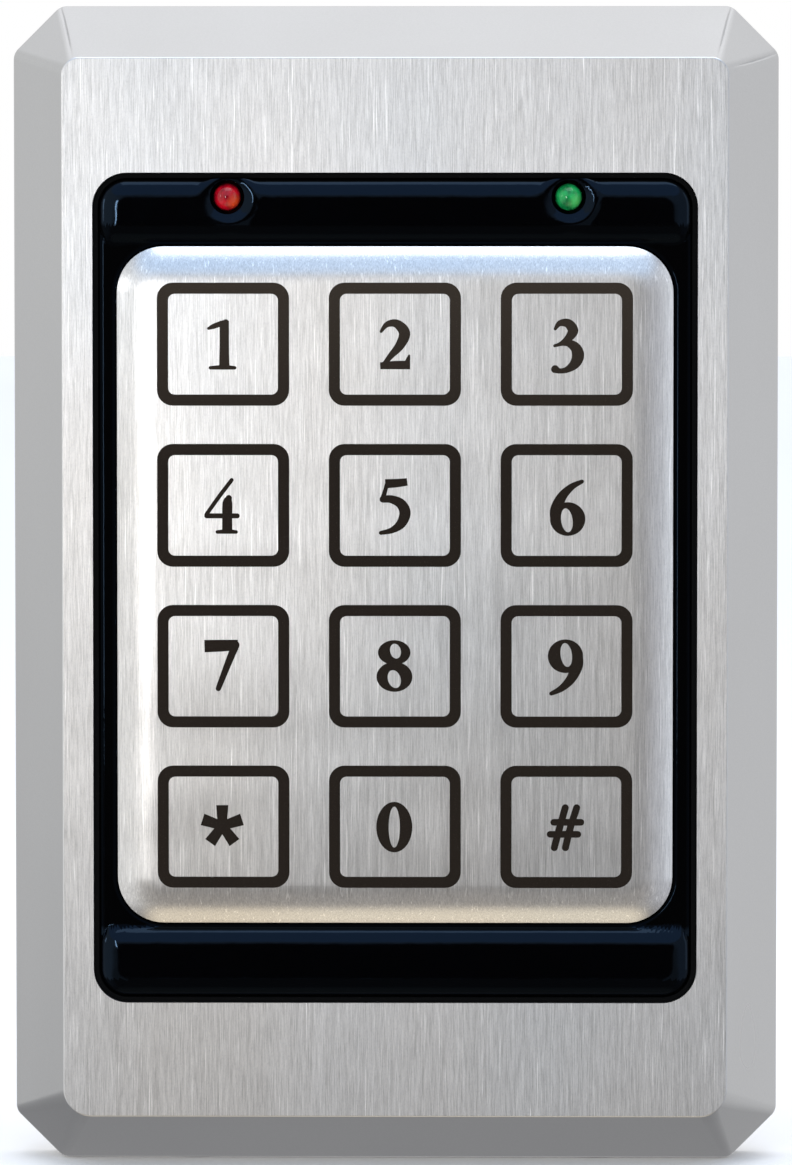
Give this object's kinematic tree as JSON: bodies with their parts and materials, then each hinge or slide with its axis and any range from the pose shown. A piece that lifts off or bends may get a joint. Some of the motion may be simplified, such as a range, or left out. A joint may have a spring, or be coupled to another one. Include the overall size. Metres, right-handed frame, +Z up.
{
  "type": "keypad access reader",
  "caption": "Wall-mounted access keypad: bevelled brushed steel housing round a black module with a one-piece steel key plate, two indicator lamps and a screw-on back plate.",
  "frame": {"origin": "on the wall plane, behind the middle of the reader: the centre of the back plate's rear face", "axes": "+X to the right seen from the front, +Z up, and the front faces -Y, so +Y points into the wall"},
  "size_m": [0.0762, 0.017, 0.1152],
  "materials": {
    "housing_steel": "brushed upright on the flat front, satin on the bevels and sides",
    "key_plate_steel": "brushed upright, with polished rolled edges and dark filled engraving",
    "gloss_black": "glossy moulded",
    "matte_black": "fine moulded texture",
    "rubber_black": "matte",
    "red_lens": "tinted, diffused",
    "green_lens": "tinted, diffused",
    "zinc_steel": "bright zinc plate",
    "screw_steel": "machined stainless steel",
    "sensor_brass": "rolled sheet with a pale ceramic face",
    "laminate_green": "lacquered circuit board",
    "spacer_sheet": "pressed sheet",
    "component_black": "moulded resin",
    "can_metal": "drawn can",
    "spring_steel": "bright drawn wire"
  },
  "bodies": {
    "reader": {"housing": "housing_steel", "window_gasket": "rubber_black", "module_frame": "gloss_black", "key_plate": "key_plate_steel", "piezo_disc_1": "sensor_brass", "piezo_disc_2": "sensor_brass", "piezo_disc_3": "sensor_brass", "piezo_disc_4": "sensor_brass", "piezo_disc_5": "sensor_brass", "piezo_disc_6": "sensor_brass", "piezo_disc_7": "sensor_brass", "piezo_disc_8": "sensor_brass", "piezo_disc_9": "sensor_brass", "piezo_disc_star": "sensor_brass", "piezo_disc_0": "sensor_brass", "piezo_disc_hash": "sensor_brass", "disc_spacer": "spacer_sheet", "sensor_board": "laminate_green", "board_link_header": "component_black", "lamp_red": "red_lens", "lamp_green": "green_lens", "control_board": "laminate_green", "microcontroller": "component_black", "sounder": "component_black", "output_relay": "component_black", "voltage_regulator": "component_black", "filter_capacitor": "can_metal", "crystal": "can_metal", "option_jumper": "component_black", "wiring_header": "component_black", "tamper_switch": "component_black", "tamper_spring": "spring_steel", "plunger_grommet": "rubber_black", "module_back_cover": "matte_black", "cover_seal": "rubber_black", "back_plate": "zinc_steel", "perimeter_seal": "rubber_black", "housing_screw_left": "screw_steel", "housing_screw_right": "screw_steel", "clinch_nut_left": "zinc_steel", "clinch_nut_right": "zinc_steel", "module_nut_top_left": "zinc_steel", "module_nut_top_right": "zinc_steel", "module_nut_bottom_left": "zinc_steel", "module_nut_bottom_right": "zinc_steel", "board_screw_top_left": "screw_steel", "board_screw_top_right": "screw_steel", "board_screw_bottom_left": "screw_steel", "board_screw_bottom_right": "screw_steel", "cover_screw_top_left": "screw_steel", "cover_screw_top_right": "screw_steel", "cover_screw_bottom_left": "screw_steel", "cover_screw_bottom_right": "screw_steel"},
    "plunger": {"tamper_plunger": "matte_black"}
  },
  "joints": [
    {"name": "tamper_travel", "type": "slide", "parent": "reader", "child": "plunger", "axis": [0, 1, 0], "range_m": [0, 0.002], "stiffness_N_per_m": 300, "springref_m": 0.0035, "deforming": ["tamper_spring"]}
  ]
}
